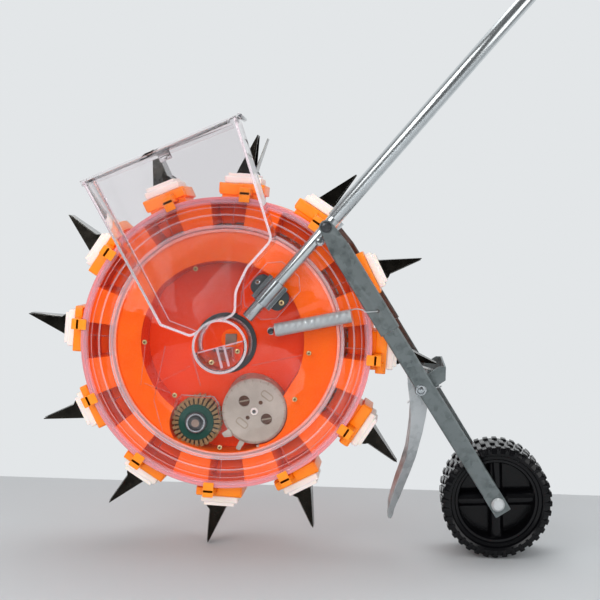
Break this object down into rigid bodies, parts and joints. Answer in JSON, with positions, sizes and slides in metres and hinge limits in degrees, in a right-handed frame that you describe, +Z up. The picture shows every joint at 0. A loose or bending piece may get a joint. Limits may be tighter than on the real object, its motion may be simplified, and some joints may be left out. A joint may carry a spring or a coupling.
{
  "type": "hand seeder",
  "caption": "Push-type hand seeder: a turning drum of duckbill openers with a clear side hopper, push pole, soil coverers and a sprung rear press wheel.",
  "frame": {"origin": "middle of the machine's box on the ground under it", "axes": "+Z up, the machine travels towards -X, the drum turns about +Y, the hopper is on the -Y side"},
  "size_m": [0.8878, 0.488, 1.0185],
  "materials": {
    "orange_plastic": "moulded, satin gloss",
    "clear_plastic": "clear, polished mould",
    "nylon": "plain off-white nylon",
    "bill_steel": "dark bare sheet steel",
    "bright_steel": "bright zinc",
    "bright_tube": "bright plated tube",
    "galvanised_steel": "dull grey zinc sheet",
    "rubber": "dark matt rubber",
    "black_plastic": "black moulding",
    "green_plastic": "green hub with tan bristles"
  },
  "bodies": {
    "frame": {"seed_pan": "orange_plastic", "seed_scraper": "nylon", "front_cover": "clear_plastic", "rear_cover": "orange_plastic", "hub_axle": "bright_steel", "hub_seal": "rubber", "hopper": "clear_plastic", "outlet_spout": "clear_plastic", "lower_tube_near": "bright_tube", "lower_tube_far": "bright_tube", "upper_pole": "bright_tube", "handlebar": "bright_tube", "grip_far": "rubber", "grip_near": "rubber", "clamp_pad_near": "rubber", "clamp_pad_far": "rubber", "saddle_near": "bright_steel", "saddle_far": "bright_steel", "rear_spring": "bright_steel"},
    "lid": {"hopper_lid": "clear_plastic"},
    "drum": {"drum_ring": "orange_plastic", "front_ring": "clear_plastic", "rear_ring": "orange_plastic", "bill_01": "bill_steel", "bill_02": "bill_steel", "bill_03": "bill_steel", "bill_04": "bill_steel", "bill_05": "bill_steel", "bill_06": "bill_steel", "bill_07": "bill_steel", "bill_08": "bill_steel", "bill_09": "bill_steel", "bill_10": "bill_steel", "bill_11": "bill_steel", "bill_12": "bill_steel"},
    "flap_body_01": {"flap_01": "bill_steel"},
    "flap_body_02": {"flap_02": "bill_steel"},
    "flap_body_03": {"flap_03": "bill_steel"},
    "flap_body_04": {"flap_04": "bill_steel"},
    "flap_body_05": {"flap_05": "bill_steel"},
    "flap_body_06": {"flap_06": "bill_steel"},
    "flap_body_07": {"flap_07": "bill_steel"},
    "flap_body_08": {"flap_08": "bill_steel"},
    "flap_body_09": {"flap_09": "bill_steel"},
    "flap_body_10": {"flap_10": "bill_steel"},
    "flap_body_11": {"flap_11": "bill_steel"},
    "flap_body_12": {"flap_12": "bill_steel"},
    "seed_drive": {"seed_wheel": "nylon", "seed_gear": "nylon"},
    "brush_drive": {"brush_wheel": "green_plastic", "brush_gear": "bright_steel"},
    "rear_frame": {"rear_arm_near": "galvanised_steel", "rear_arm_far": "galvanised_steel", "wheel_axle": "bright_steel", "coverer_spring": "bright_steel"},
    "wheel": {"press_wheel": "black_plastic"},
    "coverers": {"coverer_bracket": "galvanised_steel", "coverer_blade_near": "galvanised_steel", "coverer_blade_far": "galvanised_steel"}
  },
  "joints": [
    {"name": "lid_hinge", "type": "hinge", "parent": "frame", "child": "lid", "pos_m": [-0.14866, 0, 0.573], "axis": [0, 1, 0], "range_deg": [0, 110]},
    {"name": "drum_turn", "type": "hinge", "parent": "frame", "child": "drum", "pos_m": [-0.16419, 0, 0.28048], "axis": [0, 1, 0], "continuous": true},
    {"name": "seed_wheel_turn", "type": "hinge", "parent": "frame", "child": "seed_drive", "pos_m": [-0.12567, 0, 0.18928], "axis": [0, 1, 0], "continuous": true},
    {"name": "brush_turn", "type": "hinge", "parent": "frame", "child": "brush_drive", "pos_m": [-0.2029, 0, 0.17174], "axis": [0, 1, 0], "continuous": true},
    {"name": "flap_hinge_01", "type": "hinge", "parent": "drum", "child": "flap_body_01", "pos_m": [0.06101, 0, 0.25666], "axis": [0, 1, 0], "range_deg": [-10, 12], "stiffness_Nm_per_rad": 0.05},
    {"name": "flap_hinge_02", "type": "hinge", "parent": "drum", "child": "flap_body_02", "pos_m": [0.04275, 0, 0.37245], "axis": [0, 1, 0], "range_deg": [0, 22], "stiffness_Nm_per_rad": 0.05, "springref_deg": -5.73},
    {"name": "flap_hinge_03", "type": "hinge", "parent": "drum", "child": "flap_body_03", "pos_m": [-0.03096, 0, 0.4636], "axis": [0, 1, 0], "range_deg": [-12, 10], "stiffness_Nm_per_rad": 0.05},
    {"name": "flap_hinge_04", "type": "hinge", "parent": "drum", "child": "flap_body_04", "pos_m": [-0.14037, 0, 0.50568], "axis": [0, 1, 0], "range_deg": [-14, 8], "stiffness_Nm_per_rad": 0.05},
    {"name": "flap_hinge_05", "type": "hinge", "parent": "drum", "child": "flap_body_05", "pos_m": [-0.25616, 0, 0.48742], "axis": [0, 1, 0], "range_deg": [0, 22], "stiffness_Nm_per_rad": 0.05, "springref_deg": -5.73},
    {"name": "flap_hinge_06", "type": "hinge", "parent": "drum", "child": "flap_body_06", "pos_m": [-0.34731, 0, 0.41371], "axis": [0, 1, 0], "range_deg": [0, 22], "stiffness_Nm_per_rad": 0.05, "springref_deg": -5.73},
    {"name": "flap_hinge_07", "type": "hinge", "parent": "drum", "child": "flap_body_07", "pos_m": [-0.38939, 0, 0.3043], "axis": [0, 1, 0], "range_deg": [0, 22], "stiffness_Nm_per_rad": 0.05, "springref_deg": -5.73},
    {"name": "flap_hinge_08", "type": "hinge", "parent": "drum", "child": "flap_body_08", "pos_m": [-0.37113, 0, 0.18851], "axis": [0, 1, 0], "range_deg": [0, 22], "stiffness_Nm_per_rad": 0.05, "springref_deg": -5.73},
    {"name": "flap_hinge_09", "type": "hinge", "parent": "drum", "child": "flap_body_09", "pos_m": [-0.29742, 0, 0.09736], "axis": [0, 1, 0], "range_deg": [0, 22], "stiffness_Nm_per_rad": 0.05, "springref_deg": -5.73},
    {"name": "flap_hinge_10", "type": "hinge", "parent": "drum", "child": "flap_body_10", "pos_m": [-0.18801, 0, 0.05528], "axis": [0, 1, 0], "range_deg": [0, 22], "stiffness_Nm_per_rad": 0.05, "springref_deg": -5.73},
    {"name": "flap_hinge_11", "type": "hinge", "parent": "drum", "child": "flap_body_11", "pos_m": [-0.07222, 0, 0.07354], "axis": [0, 1, 0], "range_deg": [0, 22], "stiffness_Nm_per_rad": 0.05, "springref_deg": -5.73},
    {"name": "flap_hinge_12", "type": "hinge", "parent": "drum", "child": "flap_body_12", "pos_m": [0.01893, 0, 0.14725], "axis": [0, 1, 0], "range_deg": [0, 22], "stiffness_Nm_per_rad": 0.05, "springref_deg": -5.73},
    {"name": "rear_frame_swing", "type": "hinge", "parent": "frame", "child": "rear_frame", "pos_m": [-0.0368, 0, 0.43596], "axis": [0, 1, 0], "range_deg": [-12, 0], "stiffness_Nm_per_rad": 30, "springref_deg": 18.91, "deforming": ["rear_spring"]},
    {"name": "wheel_turn", "type": "hinge", "parent": "rear_frame", "child": "wheel", "pos_m": [0.20041, 0, 0.07601], "axis": [0, 1, 0], "continuous": true},
    {"name": "coverer_swing", "type": "hinge", "parent": "rear_frame", "child": "coverers", "pos_m": [0.093, 0, 0.22773], "axis": [0, 1, 0], "range_deg": [-12, 0], "stiffness_Nm_per_rad": 5, "springref_deg": 11.46, "deforming": ["coverer_spring"]}
  ],
  "couplings": [
    {"joint": "seed_wheel_turn", "follows": "drum_turn", "ratio": 3},
    {"joint": "brush_turn", "follows": "drum_turn", "ratio": -5}
  ]
}
